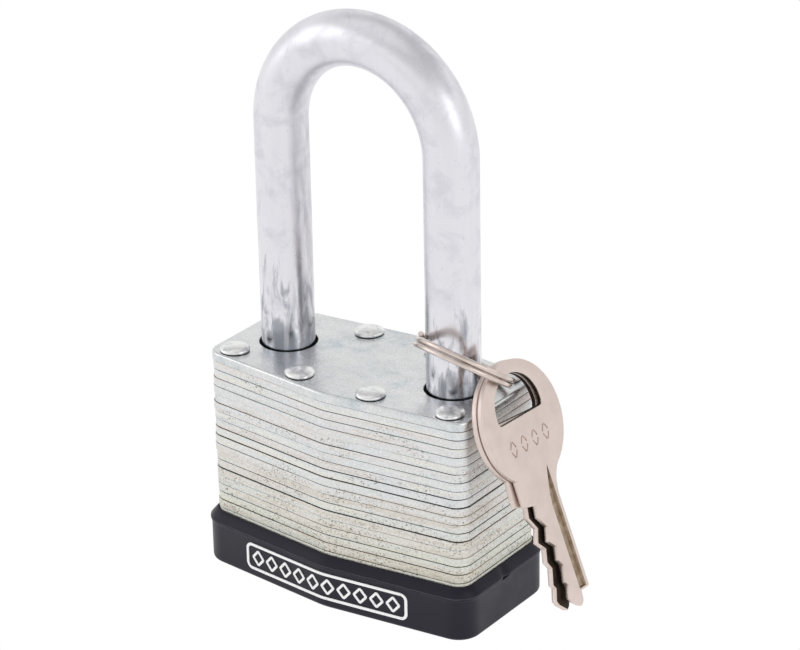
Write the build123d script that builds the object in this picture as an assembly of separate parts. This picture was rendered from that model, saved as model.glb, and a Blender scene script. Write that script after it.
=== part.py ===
from build123d import *
from math import cos, radians, sin
import os

# Laminated padlock with a long shackle, a bumper round its foot and two keys on a split ring.
# Frame: +Z up, the front towards -Y, the origin at the middle of the bumper's underside.
# Pose: shackle down, levers withdrawn, so the plug and the shackle are each free to move.

# ---- driving dimensions, mm ----
HALF_W = 25.5            # stack, half width
HALF_END = 10.6          # stack, half depth at the ends
HALF_MID = 13.35         # stack, half depth at the shallow point
CORNER_R = 2.7
BEND_R = 10.0
SHEET = 1.5              # lamination thickness
TOP_SHEET = 1.6
SHEETS = 23
FLOOR = 2.3              # bumper floor
BUMPER_H = 9.3
BUMPER_WALL = 1.28
BUMPER_LIP = 1.5         # the lip's edge stands out this far from the stack
LIP_Z = 7.9              # height of the lip's edge; from there it slopes up to the stack
BAR_R = 4.45             # shackle bar
LEG_X = 16.6
ARCH_Z = 77.5            # centre of the shackle's arch
TOE_Z = 27.4             # end of the toe leg
HOLE_R = 4.85            # shackle holes
LIFT = 11.4              # shackle travel
RIVET_R = 1.5
RIVET_HEAD_R = 2.46
RIVET_HEAD_H = 1.05
PLUG_R = 5.5
PLUG_FIT = 0.06          # radial running fit of the plug
PIN_R = 1.45
PIN_PITCH = 3.8
PINS = 4
RING_R = 8.15            # key ring, centre line
WIRE_R = 0.44
KEY_T = 1.0              # key thickness
BOW_R = 10.1
SLACK = 0.1              # plain clearance between pieces that don't move together
SHEET_EDGE = 0.2         # chamfer on a sheet's outer edges
TOP_EDGE = 0.35          # the same on the thick top plate
LEVER_SLOT = 5.5         # lever pocket, half depth
LEVER_TRAVEL_GAP = 0.45  # between a withdrawn lever and the bar
NOTCH_DEPTH = 1.6
NOTCH_H = 3.4
NECK_R = 2.8             # heel leg's neck, inside the retainer
COLLAR_T = 2.3
RETAINER_OUT = 6.5       # heel retainer: half depth, and reach outward from the leg
RETAINER_IN = 4.5        # its reach towards the middle
HOUSING_R = 7.0
BLOCK_HALF = 3.6         # half depth of the housing's pin block
CHAMBER_X = 16.0         # outer end of the pin chambers
CAP_X = 17.5             # outer face of the strip over them
FIRST_PIN_Z = 7.4
DRIVER_X = 10.0          # outer end of the driver pins
SHAFT_HOLE_R = 3.6       # tailpiece hole in the sheets under the levers
CLIP_R = 6.4             # plug clip
LEAF_X = 7.6             # spread of the lever spring's two ends
RING_CENTRE = Vector(19.3, -0.8, 44.15)
RING_NORMAL = Vector(0.141, 0.5645, 0.8133)
RING_START = Vector(-0.832, -0.378, 0.406)   # where the wire's end lies, from the centre
RING_PITCH = 2 * WIRE_R + 0.06
BOW_CENTRE = Vector(29.49, 1.04, 35.65)      # front key, front face, centre of the bow
BOW_HOLE_R = 5.9
BOW_HOLE_Y = 2.1         # centre of the hole's arc above the bow's centre
BOW_HOLE_FOOT = 1.0      # the D's straight side
KEY_LEAN = 22.9          # the tip stands out from the body by this angle
KEY_ROLL = -2.0
KEY_FAN = 0.8            # the rear key leans this much less
REAR_ROLL = -3.2         # and is turned by this in its own plane, about its bow
BLADE_END = -31.0
SPINE_Y = 2.95
GROOVE = (0.95, 2.35)    # its two sides
GROOVE_DEPTH = 0.35
BITTING = [(-3.4, -13.0), (-3.75, -14.9), (-2.3, -17.0), (-3.2, -19.2), (-1.7, -20.6), (-2.3, -22.7),
           (-1.5, -23.9), (-2.35, -26.5), (-1.85, -27.2), (-2.6, -29.1), (-2.15, -29.9)]

# ---- worked out from them ----
STACK_Z = FLOOR + SHEETS * SHEET       # top of the 23 sheets
TOP_Z = STACK_Z + TOP_SHEET            # top of the stack
RIVET_SPOTS = [(sx * x, sy * y) for x, y in ((21.5, 8.1), (7.1, 9.5)) for sx in (-1, 1) for sy in (-1, 1)]
LEVER_Z = STACK_Z - 4 * SHEET          # floor of the lever pocket (plates 04 and 05)
LEVER_T = 2 * SHEET - 2 * SLACK
LEVER_LOW = LEVER_Z + SLACK
LEVER_TIP = LEG_X - BAR_R - LEVER_TRAVEL_GAP      # lever's outer end, withdrawn
RETAINER_Z = STACK_Z - 8 * SHEET       # underside of the heel retainer (plate 09)
COLLAR_Z = RETAINER_Z - SLACK - LIFT - COLLAR_T   # underside of the heel's collar
HOUSING_TOP = STACK_Z - 9 * SHEET      # ceiling of the housing pocket (under plate 10)
HOUSING_FOOT = FLOOR + SHEET + SLACK


def bar(radius, z0, z1, x=0.0, y=0.0):
    """Upright cylinder between two heights."""
    return Pos(x, y, z0) * Cylinder(radius, z1 - z0, align=(Align.CENTER, Align.CENTER, Align.MIN))


def block(x0, x1, y0, y1, z0, z1):
    """Box between two corners."""
    return Pos(x0, y0, z0) * Box(x1 - x0, y1 - y0, z1 - z0, align=(Align.MIN, Align.MIN, Align.MIN))


def rod_x(radius, x0, x1, z):
    """Level cylinder along X."""
    return Pos(x0, 0, z) * Rot(0, 90, 0) * Cylinder(radius, x1 - x0, align=(Align.CENTER, Align.CENTER, Align.MIN))


def coil(radius, wire, length, turns):
    """Round-wire helix along +Z from the origin."""
    path = Helix(pitch=length / turns, height=length, radius=radius)
    start = Plane(origin=path @ 0, z_dir=path % 0)
    return sweep(start * Circle(wire), path=path, is_frenet=True)


def stack_outline(grow=0.0):
    """Plan of the stack: straight ends, with a shallow point at the front and the back."""
    w, e, m = HALF_W + grow, HALF_END + grow, HALF_MID + grow
    face = make_face(Polyline((-w, -e), (0, -m), (w, -e), (w, e), (0, m), (-w, e), close=True))
    face = fillet([v for v in face.vertices() if abs(v.X) > 1], CORNER_R + grow)
    return fillet([v for v in face.vertices() if abs(v.X) < 1 and abs(v.Y) > m - 0.1], BEND_R)


def slab(z0, z1, edge):
    """Plate of the stack's plan, its outer edges broken by a small chamfer."""
    body = extrude(Pos(0, 0, z0) * stack_outline(), z1 - z0)
    rims = body.edges().filter_by(lambda e: e.bounding_box().size.Z < 0.01)
    return chamfer(rims, edge)


# ---- lamination stack ----
def plate(index):
    """Sheet number index, counted down from the thick top plate (1), with its holes."""
    top = TOP_Z if index == 1 else STACK_Z - (index - 2) * SHEET
    low = STACK_Z if index == 1 else top - SHEET
    body = slab(low, top, TOP_EDGE if index == 1 else SHEET_EDGE)
    for x, y in RIVET_SPOTS:
        body -= bar(RIVET_R + 0.05, low - 1, top + 1, x, y)
    if index < 24:
        body -= bar(HOLE_R, low - 1, top + 1, -LEG_X)
    if index < 9:
        body -= bar(HOLE_R, low - 1, top + 1, LEG_X)
    if index == 3:
        body -= block(-8.3, 8.3, -3.3, 3.3, low - 1, top + 1)
    if index in (4, 5):
        body -= block(-LEG_X, LEG_X, -LEVER_SLOT, LEVER_SLOT, low - 1, top + 1)
    if 6 <= index <= 9:
        body -= bar(SHAFT_HOLE_R, low - 1, top + 1)
    if index == 10:
        body -= bar(CLIP_R + 0.4, low - 1, top + 1)
    if index == 9:
        reach_out, reach_in = RETAINER_OUT + SLACK, RETAINER_IN + SLACK
        body -= block(-LEG_X - reach_out, -LEG_X + reach_in, -reach_out, reach_out, low - 1, top + 1)
    if 11 <= index <= 23:
        body -= bar(HOUSING_R + SLACK, low - 1, top + 1)
        body -= block(0, CAP_X + 0.3, -BLOCK_HALF - SLACK, BLOCK_HALF + SLACK, low - 1, top + 1)
    if index == 24:
        body -= bar(PLUG_R + 0.3, low - 1, top + 1)
    return body


def rivets():
    """Eight stack rivets: shank, domed head on the top plate."""
    ball_r = (RIVET_HEAD_R**2 + RIVET_HEAD_H**2) / (2 * RIVET_HEAD_H)
    head = Pos(0, 0, TOP_Z + RIVET_HEAD_H - ball_r) * Sphere(ball_r)
    head &= bar(RIVET_HEAD_R + 1, TOP_Z, TOP_Z + 5)
    one = bar(RIVET_R, FLOOR, TOP_Z + 0.1) + head
    return Compound([Pos(x, y, 0) * one.solid() for x, y in RIVET_SPOTS])


def bumper():
    """Moulded guard: a floor with the keyway opening, and a wall with a sloping, overhanging lip."""
    body = extrude(stack_outline(BUMPER_WALL), LIP_Z)
    foot = body.edges().filter_by(lambda e: e.bounding_box().max.Z < 0.01)
    body = fillet(foot, 0.6)
    lip = extrude(Pos(0, 0, LIP_Z - 0.6) * stack_outline(BUMPER_LIP), BUMPER_H - LIP_Z + 0.6)
    top = lip.edges().filter_by(lambda e: e.bounding_box().min.Z > BUMPER_H - 0.01)
    slope = BUMPER_H - LIP_Z
    lip = chamfer(top, slope, BUMPER_LIP - 0.2)
    body += lip
    body -= Pos(0, 0, FLOOR) * extrude(stack_outline(0.04), BUMPER_H)
    return body - bar(HOUSING_R, -1, FLOOR + 1)


# ---- shackle ----
def shackle():
    """Bent round bar: full toe leg, necked heel leg, one locking notch inside each leg."""
    arch = ThreePointArc((-LEG_X, 0, ARCH_Z), (0, 0, ARCH_Z + LEG_X), (LEG_X, 0, ARCH_Z))
    path = Line((-LEG_X, 0, RETAINER_Z + SHEET + 0.2), (-LEG_X, 0, ARCH_Z)) + arch
    path += Line((LEG_X, 0, ARCH_Z), (LEG_X, 0, TOE_Z))
    body = sweep(Plane(origin=path @ 0, z_dir=path % 0) * Circle(BAR_R), path=path)
    toe = body.edges().filter_by(lambda e: e.bounding_box().max.Z < TOE_Z + 0.01 and e.center().X > 0)
    body = chamfer(toe, 0.9)
    body += bar(NECK_R, COLLAR_Z, RETAINER_Z + SHEET + 0.3, -LEG_X)
    body += bar(BAR_R, COLLAR_Z, COLLAR_Z + COLLAR_T, -LEG_X)
    notch_x = LEG_X - BAR_R + NOTCH_DEPTH
    notch_z = LEVER_Z - 0.2
    for side in (-1, 1):
        x0, x1 = sorted((side * (notch_x - 5), side * notch_x))
        body -= block(x0, x1, -6, 6, notch_z, notch_z + NOTCH_H)
    return body


def heel_retainer():
    """Forked plate round the heel's neck, in a pocket of plate 09."""
    slot = NECK_R + 0.3
    body = block(-LEG_X - RETAINER_OUT, -LEG_X + RETAINER_IN, -RETAINER_OUT, RETAINER_OUT,
                 RETAINER_Z, RETAINER_Z + SHEET)
    body -= bar(slot, RETAINER_Z - 1, RETAINER_Z + 5, -LEG_X)
    return body - block(-LEG_X, -LEG_X + 6, -slot, slot, RETAINER_Z - 1, RETAINER_Z + 5)


def shackle_spring():
    """Coil under the heel, closed between plate 24 and the collar."""
    wire = 0.45
    foot = FLOOR + SHEET + wire + 0.02
    return Pos(-LEG_X, 0, foot) * coil(3.6, wire, COLLAR_Z - wire - 0.02 - foot, 5)


# ---- locking levers ----
def lever(side):
    """Sliding lever: a broad tongue for the notch and an arm that reaches past the tailpiece."""
    body = block(6.4, LEVER_TIP, -3.0, 3.0, LEVER_LOW, LEVER_LOW + LEVER_T)
    body += block(-6.0, 8.4, 3.7, 5.3, LEVER_LOW, LEVER_LOW + LEVER_T)
    body += block(6.4, 8.4, -3.0, 5.3, LEVER_LOW, LEVER_LOW + LEVER_T)
    body -= bar(0.6, LEVER_LOW + 1.6, LEVER_LOW + 5, LEAF_X)
    return Rot(0, 0, 0 if side > 0 else 180) * body


def lever_spring():
    """Bowed leaf above the levers whose two ends press them apart."""
    bow_z = STACK_Z - 2 * SHEET + 0.35
    leaf = block(-LEAF_X, LEAF_X, -2.6, 2.6, bow_z, bow_z + 0.4)
    leaf -= block(-6.6, 6.6, -1.4, 1.4, bow_z - 1, bow_z + 2)
    for side in (-1, 1):
        leaf += bar(0.45, LEVER_LOW + 1.75, bow_z + 0.4, side * LEAF_X)
    return leaf


# ---- pin tumbler cylinder ----
def chamber_z(index):
    """Height of pin chamber number index."""
    return FIRST_PIN_Z + index * PIN_PITCH


def cylinder_housing():
    """Housing round the plug, with a block that holds the pin chambers towards the toe."""
    z0, z1 = HOUSING_FOOT, HOUSING_TOP - SLACK
    body = bar(HOUSING_R, z0, z1) + block(0, CHAMBER_X, -BLOCK_HALF, BLOCK_HALF, z0, z1)
    body -= bar(PLUG_R + PLUG_FIT, z0 - 1, z1 + 1)
    for i in range(PINS):
        body -= rod_x(PIN_R + 0.1, 4, CHAMBER_X + 1, chamber_z(i))
    return body


def chamber_cap():
    """Strip that closes the outer ends of the pin chambers."""
    return block(CHAMBER_X + 0.02, CAP_X, -3.5, 3.5, HOUSING_FOOT, HOUSING_TOP - SLACK)


def plug():
    """Turning core: keyway slot from below, pin holes towards the toe, a groove for its clip."""
    z0, z1 = FLOOR + 0.2, HOUSING_TOP - SLACK - 1.4
    body = bar(PLUG_R, z0, z1)
    body -= block(-3.6, 4.0, -0.65, 0.65, z0 - 1, z1 - 1.6)
    for i in range(PINS):
        body -= rod_x(PIN_R + 0.1, 0.5, PLUG_R + 1, chamber_z(i))
    body -= bar(PLUG_R, z1 - 0.2, z1 + 1) - bar(4.4, z1 - 0.3, z1 + 2)
    body += bar(3.0, z1 - 0.5, z1 + 1.4)
    return body


def plug_clip():
    """Open spring clip on the plug's inner end, above the housing bore."""
    z0 = HOUSING_TOP - SLACK + 0.02
    ring = bar(CLIP_R, z0, z0 + 0.6) - bar(3.05, z0 - 1, z0 + 2)
    return ring - block(-7, 0, -1.2, 1.2, z0 - 1, z0 + 2)


def tailpiece():
    """Shaft from the plug up to the levers, with a flat cam across its end."""
    foot = HOUSING_TOP - SLACK + 0.02
    shaft = bar(2.4, foot, LEVER_LOW)
    cam = bar(3.4, LEVER_LOW, LEVER_LOW + LEVER_T)
    cam &= block(-3.4, 3.4, -1.5, 1.5, LEVER_Z, LEVER_Z + 2 * SHEET)
    return shaft + cam


def pin_solids(x0, x1, tip):
    """One pin in each chamber, with a bevelled inner end."""
    pins = []
    for i in range(PINS):
        pin = rod_x(PIN_R, x0, x1, chamber_z(i))
        inner = pin.faces().sort_by(Axis.X)[0].edges()
        pins.append(chamfer(inner, tip).solid())
    return Compound(pins)


def key_pins():
    """Key pins, short enough that their corners stay inside the plug when it turns."""
    return pin_solids(0.8, PLUG_R - 0.22, 0.7)


def driver_pins():
    """Driver pins, just outside the shear line."""
    return pin_solids(PLUG_R + PLUG_FIT + SLACK, DRIVER_X, 0.2)


def pin_springs():
    """One small coil behind each driver pin."""
    wire = 0.2
    length = CHAMBER_X - DRIVER_X - 2 * wire - SLACK
    one = coil(1.05, wire, length, 6)
    spots = [Pos(DRIVER_X + SLACK / 2 + wire, 0, chamber_z(i)) * Rot(0, 90, 0) for i in range(PINS)]
    return Compound([(spot * one).solid() for spot in spots])


# ---- key ring and keys ----
def key_ring():
    """Split ring: two turns of round wire round the toe leg, resting on the top plate."""
    place = Plane(origin=RING_CENTRE, x_dir=RING_START, z_dir=RING_NORMAL)
    turns = Pos(0, 0, -RING_PITCH) * coil(RING_R, WIRE_R, 2 * RING_PITCH, 2)
    return place * turns


def key_blank():
    """Key in its own plane: local X across the bow, local Y along it, front face at Z = 0."""
    outline = [(-6.0, -7.6), (-6.1, -12.6), *BITTING, (-0.4, BLADE_END - 0.3), (0.5, BLADE_END + 0.3),
               (0.55, BLADE_END + 1.9), (SPINE_Y, BLADE_END + 1.9), (SPINE_Y, -12.0), (5.2, -8.2)]
    face = Circle(BOW_R) + make_face(Polyline(*outline, close=True))
    neck = [v for v in face.vertices() if v.X > 2.5 and -13 < v.Y < -11]
    face = fillet(neck, 4.0)
    foot = Pos(0, BOW_HOLE_FOOT) * Rectangle(3 * BOW_HOLE_R, BOW_R, align=(Align.CENTER, Align.MAX))
    hole = Pos(0, BOW_HOLE_Y) * Circle(BOW_HOLE_R) - foot
    face -= fillet(hole.vertices(), 0.7)
    body = extrude(face, -KEY_T)
    low, high = GROOVE
    return body - block(low, high, BLADE_END + 1.0, -8.4, -GROOVE_DEPTH, 1)


def key(front):
    """Front or rear key, hung on the ring beside the right end face."""
    lean = KEY_LEAN if front else KEY_LEAN - KEY_FAN
    normal = Vector(cos(radians(lean)), 0, sin(radians(lean)))
    front_normal = Vector(cos(radians(KEY_LEAN)), 0, sin(radians(KEY_LEAN)))
    up = Vector(-front_normal.Z, 0, front_normal.X)
    top = BOW_CENTRE + up * BOW_R
    if not front:
        top = top - front_normal * (KEY_T + SLACK)
    place = Plane(origin=top, x_dir=(0, 1, 0), z_dir=normal)
    blank = Rot(0, 0, 0 if front else REAR_ROLL) * key_blank()
    return place * (Rot(0, 0, KEY_ROLL) * (Pos(0, -BOW_R) * blank))


def main():
    """Build every sub-part and write one STEP file for each."""
    parts = {f"plate_{i:02d}": plate(i) for i in range(1, SHEETS + 2)}
    parts["bumper"] = bumper()
    parts["rivets"] = rivets()
    parts["shackle"] = shackle()
    parts["heel_retainer"] = heel_retainer()
    parts["shackle_spring"] = shackle_spring()
    parts["lever_left"] = lever(-1)
    parts["lever_right"] = lever(1)
    parts["lever_spring"] = lever_spring()
    parts["cylinder_housing"] = cylinder_housing()
    parts["chamber_cap"] = chamber_cap()
    parts["plug"] = plug()
    parts["plug_clip"] = plug_clip()
    parts["tailpiece"] = tailpiece()
    parts["key_pins"] = key_pins()
    parts["driver_pins"] = driver_pins()
    parts["pin_springs"] = pin_springs()
    parts["key_ring"] = key_ring()
    parts["key_front"] = key(True)
    parts["key_rear"] = key(False)
    os.makedirs("parts", exist_ok=True)
    for name, shape in parts.items():
        export_step(shape, f"parts/{name}.step")
    return parts


PARTS = main()
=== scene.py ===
# %% [markdown]
# # A laminated padlock with two keys
# The lock is a stack of punched steel sheets held by rivets, a bent round bar for a shackle, a
# moulded guard round the foot, and two keys on a split ring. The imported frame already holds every
# part at its real size and place. This script gives each visible part its true surface: the soft
# punched edges, the drawn bar, the peened rivet heads, the moulded skin.

# %% Load the frame
import bmesh
import bpy
import numpy as np
from mathutils import Matrix, Vector
from mathutils.geometry import delaunay_2d_cdt


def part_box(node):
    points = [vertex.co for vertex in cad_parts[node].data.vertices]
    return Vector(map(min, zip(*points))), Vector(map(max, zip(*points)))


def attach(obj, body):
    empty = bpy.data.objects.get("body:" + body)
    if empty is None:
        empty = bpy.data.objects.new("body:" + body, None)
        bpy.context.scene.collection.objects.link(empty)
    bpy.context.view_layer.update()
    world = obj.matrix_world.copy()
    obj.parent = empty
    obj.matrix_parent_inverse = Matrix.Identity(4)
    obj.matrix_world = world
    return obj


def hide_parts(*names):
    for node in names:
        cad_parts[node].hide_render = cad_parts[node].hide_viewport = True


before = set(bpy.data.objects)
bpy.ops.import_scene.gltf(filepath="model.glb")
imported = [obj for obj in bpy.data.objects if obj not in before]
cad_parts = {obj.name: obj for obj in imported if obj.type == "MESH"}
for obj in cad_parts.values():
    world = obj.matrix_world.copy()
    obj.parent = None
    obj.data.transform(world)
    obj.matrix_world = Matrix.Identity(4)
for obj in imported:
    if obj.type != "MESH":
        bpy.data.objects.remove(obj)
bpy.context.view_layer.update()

# %% [markdown]
# ## Measures
# Lengths below are in metres, so one millimetre is MM. Positions come from the frame's own
# boxes, so the surfaces stay on the parts that they stand for.

# %% Measures from the frame
MM = 0.001
plate_low, plate_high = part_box("plate_05")
bumper_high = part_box("bumper")[1]
bar_low, bar_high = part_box("shackle")
HALF_W = plate_high.x
HALF_MID = plate_high.y + 0.06 * MM
HALF_END = HALF_MID - 2.75 * MM
CORNER_R = 2.7 * MM
BEND_R = 10 * MM
BAR_R = bar_high.y
PITCH = plate_high.z - plate_low.z
SEAM_Z = plate_low.z
LIP_Z = 7.9 * MM
LEG_X = bar_high.x - BAR_R
ARCH_Z = bar_high.z - BAR_R - LEG_X
TOP_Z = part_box("plate_01")[1].z
print(f"stack {2 * HALF_W / MM:.1f} x {2 * HALF_MID / MM:.1f} mm, bar {2 * BAR_R / MM:.1f} mm")

# %% [markdown]
# ## Camera
# A long lens from a good half metre away keeps the stack's edges nearly parallel. The camera
# stands to the right of the front and looks down a little, and it is rolled by about one degree.

# %% Camera
CAMERA_AT = Vector((0.2908, -0.3896, 0.2677))
AZIMUTH, ELEVATION, ROLL = np.radians([36.15, 24.6, -1.12])
level = Vector((np.cos(AZIMUTH), np.sin(AZIMUTH), 0))
away = Vector((np.sin(AZIMUTH), -np.cos(AZIMUTH), 0))
back = away * np.cos(ELEVATION) + Vector((0, 0, np.sin(ELEVATION)))
upward = back.cross(level)
right = level * np.cos(ROLL) + upward * np.sin(ROLL)
camera = bpy.data.objects.new("camera", bpy.data.cameras.new("camera"))
camera.data.sensor_width = 36
camera.data.lens = 149.0
camera.data.clip_start = 0.01
turn = Matrix((right, back.cross(right), back)).transposed()
camera.matrix_world = Matrix.Translation(CAMERA_AT) @ turn.to_4x4()
bpy.context.scene.collection.objects.link(camera)
bpy.context.scene.camera = camera
print("camera stands", round(CAMERA_AT.length, 3), "m from the foot of the lock")

# %% [markdown]
# ## Helpers for meshes
# Almost every surface here is a grid: a profile carried round a closed outline, or a ring of
# points carried along a path. `grid_faces` joins such a grid with quads. Flat plates with holes
# are filled by a constrained Delaunay triangulation of their boundary loops.

# %% Mesh helpers
def grid_faces(rows, cols, start=0, close_rows=False, close_cols=True):
    """Quads between neighbouring rows and columns of a grid of rows x cols points."""
    r = np.arange(rows if close_rows else rows - 1)
    c = np.arange(cols if close_cols else cols - 1)
    r, c = np.meshgrid(r, c, indexing="ij")
    r1, c1 = (r + 1) % rows, (c + 1) % cols
    quads = np.stack([r * cols + c, r * cols + c1, r1 * cols + c1, r1 * cols + c], -1)
    return quads.reshape(-1, 4) + start


def fill(loops, z, up):
    """Flat face at height z inside the first loop and outside the others, as triangles.

    A Delaunay triangulation keeps every loop as an edge, and its mode 1 keeps the inside."""
    points = np.concatenate(loops)
    starts = np.cumsum([0] + [len(p) for p in loops])
    edges = [(s + i, s + (i + 1) % n) for s, n in zip(starts, map(len, loops)) for i in range(n)]
    rings = [list(range(a, b))[::-1 if a else 1] for a, b in zip(starts, starts[1:])]
    places = [Vector(p) for p in points.tolist()]
    found, _, faces, *_ = delaunay_2d_cdt(places, edges, rings, 1, 1e-9)
    verts = np.c_[np.array([tuple(v) for v in found]), np.full(len(found), z)]
    tris = np.array([f for f in faces if len(f) == 3])
    middle = verts[tris].mean(1)[:, :2]
    if len(loops) > 1:
        tris = tris[~np.any([inside(hole, middle) for hole in loops[1:]], axis=0)]
    a, b, c = (verts[tris[:, i], :2] for i in range(3))
    turn = (b[:, 0] - a[:, 0]) * (c[:, 1] - a[:, 1]) - (b[:, 1] - a[:, 1]) * (c[:, 0] - a[:, 0])
    flip = (turn > 0) != up
    tris[flip] = tris[flip][:, ::-1]
    return verts, tris


def at_height(loop, z):
    """Points in plan, given the height z."""
    return np.c_[loop, np.full(len(loop), z)]


def inside(loop, points):
    """Which points lie in a closed loop: an odd number of its edges crosses the ray towards +X."""
    x0, y0 = loop.T[:, :, None]
    x1, y1 = np.roll(loop, -1, axis=0).T[:, :, None]
    px, py = points.T[:, None]
    crosses = (y0 > py) != (y1 > py)
    at = x0 + (py - y0) * (x1 - x0) / np.where(y1 == y0, 1e-12, y1 - y0)
    return (crosses & (px < at)).sum(0) % 2 == 1


class Shell:
    """Collects patches of points and faces, then makes one welded mesh object of them."""

    def __init__(self):
        self.points, self.faces, self.marks, self.count = [], [], [], 0

    def add(self, points, faces, mark=0):
        points = np.asarray(points, float).reshape(-1, 3)
        self.points.append(points)
        self.faces += (np.asarray(faces) + self.count).tolist()
        self.marks += [mark] * len(faces)
        self.count += len(points)

    def make(self, name, body, node, slot, materials, sharp=35, weld=1e-7):
        mesh = bpy.data.meshes.new(name)
        mesh.from_pydata(np.concatenate(self.points).tolist(), [], self.faces)
        for material in materials:
            mesh.materials.append(material)
        mesh.polygons.foreach_set("material_index", self.marks)
        work = bmesh.new()
        work.from_mesh(mesh)
        bmesh.ops.remove_doubles(work, verts=work.verts, dist=weld)
        bmesh.ops.dissolve_degenerate(work, dist=weld, edges=work.edges)
        bmesh.ops.recalc_face_normals(work, faces=work.faces)
        work.to_mesh(mesh)
        work.free()
        mesh.shade_smooth()
        mesh.set_sharp_from_angle(angle=np.radians(sharp))
        piece = bpy.data.objects.new(name, mesh)
        bpy.context.scene.collection.objects.link(piece)
        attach(piece, body)
        if node:
            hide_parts(*([node] if isinstance(node, str) else node))
        print(f"{name}: {len(mesh.polygons)} faces")
        return piece


print("mesh helpers ready")

# %% [markdown]
# ## Helpers for materials
# A material is a small network. `add` makes one node, sets its sockets, and links other nodes
# into it. Colours are written as the sRGB hex values an eye would read, and `paint` turns them
# into the linear light that the renderer works in. A noise's scale is one over the width of its
# lumps. The grain of plating, of a spark-eroded mould and of tumbling is really a few hundredths
# of a millimetre. It is drawn 0.25 to 0.5 mm wide, because finer grain would not show.

# %% Material helpers
def paint(hex_colour):
    """Linear RGBA of an sRGB hex colour: below 0.04045 divide by 12.92, above it the 2.4 power."""
    srgb = np.array([int(hex_colour[i:i + 2], 16) for i in (1, 3, 5)]) / 255
    linear = np.where(srgb <= 0.04045, srgb / 12.92, ((srgb + 0.055) / 1.055) ** 2.4)
    return (*linear, 1.0)


def add(tree, kind, links=None, out=0, stops=(), **settings):
    """Adds one shader node and gives its output called out, the first one unless told.

    links maps an input's name or index to a value or to another node's output, stops are a colour
    ramp's pairs of position and hex colour or grey level, and settings are the node's own."""
    node = tree.nodes.new("ShaderNode" + kind)
    for key, value in settings.items():
        setattr(node, key, value)
    for key, value in (links or {}).items():
        if isinstance(value, bpy.types.NodeSocket):
            tree.links.new(value, node.inputs[key])
        else:
            node.inputs[key].default_value = value
    while stops and len(node.color_ramp.elements) < len(stops):
        node.color_ramp.elements.new(0.5)
    for (at, tone), element in zip(stops, node.color_ramp.elements if stops else ()):
        element.position = at
        element.color = paint(tone) if isinstance(tone, str) else (tone, tone, tone, 1)
    return node.outputs[out]


# a Mix node set to colours has its two colours on inputs 6 and 7 and its result on output 2
OF_COLOURS = {"out": 2, "data_type": "RGBA"}


def material(name, **sockets):
    """A new material, its tree and its shader, with the given sockets at one value all over."""
    made = bpy.data.materials.new(name)
    made.use_nodes = True
    tree = made.node_tree
    shader = tree.nodes["Principled BSDF"]
    for key, value in sockets.items():
        shader.inputs[key.replace("_", " ")].default_value = value
    return made, tree, shader


def coat(tree, shader, colour, roughness, normal):
    """Feeds the shader a colour, a roughness and a normal; a plain number goes on its socket."""
    for name, value in (("Base Color", colour), ("Roughness", roughness), ("Normal", normal)):
        if isinstance(value, bpy.types.NodeSocket):
            tree.links.new(value, shader.inputs[name])
        else:
            shader.inputs[name].default_value = value


print("material helpers ready")

# %% [markdown]
# ## Zinc plated sheet edges
# The stack's sides are the cut edges of cold rolled, zinc plated sheet. Plating gives a pale,
# dull satin metal. Each sheet catches it a little differently, so neighbouring edges drift
# between bluish and straw. Handling leaves brown and grey specks, mostly low on the front.

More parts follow.
